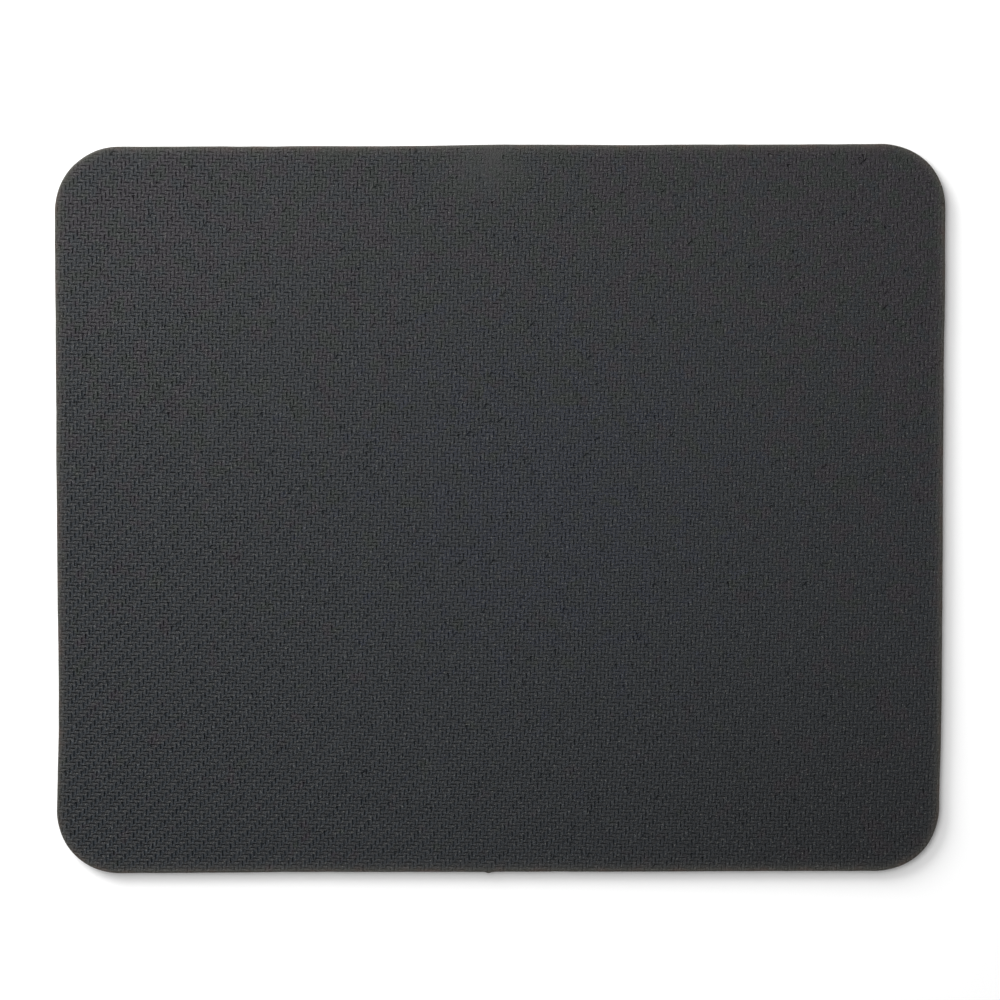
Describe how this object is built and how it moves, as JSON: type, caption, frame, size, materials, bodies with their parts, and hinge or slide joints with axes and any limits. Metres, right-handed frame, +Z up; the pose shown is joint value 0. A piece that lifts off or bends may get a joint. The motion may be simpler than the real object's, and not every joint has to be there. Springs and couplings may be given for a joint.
{
  "type": "mouse pad",
  "caption": "Flat rectangular mouse pad with round corners: knitted cloth face bonded to a sponge rubber base with an embossed anti-slip face.",
  "frame": {"origin": "middle of the cloth face, on the surface that the pad lies on", "axes": "+X along the long side, +Y along the short side towards the picture's top edge, +Z up out of the embossed grip face"},
  "size_m": [0.22, 0.18, 0.003],
  "materials": {
    "cloth": "fine knitted polyester, matt black",
    "film": "thin hot-melt film, seen only as a line at the cut edge",
    "rubber": "sponge rubber with a moulded woven-look relief on the grip face, matt charcoal"
  },
  "bodies": {
    "root": {"cloth_cover": "cloth", "adhesive_film": "film", "sponge_rubber_base": "rubber"}
  },
  "joints": []
}
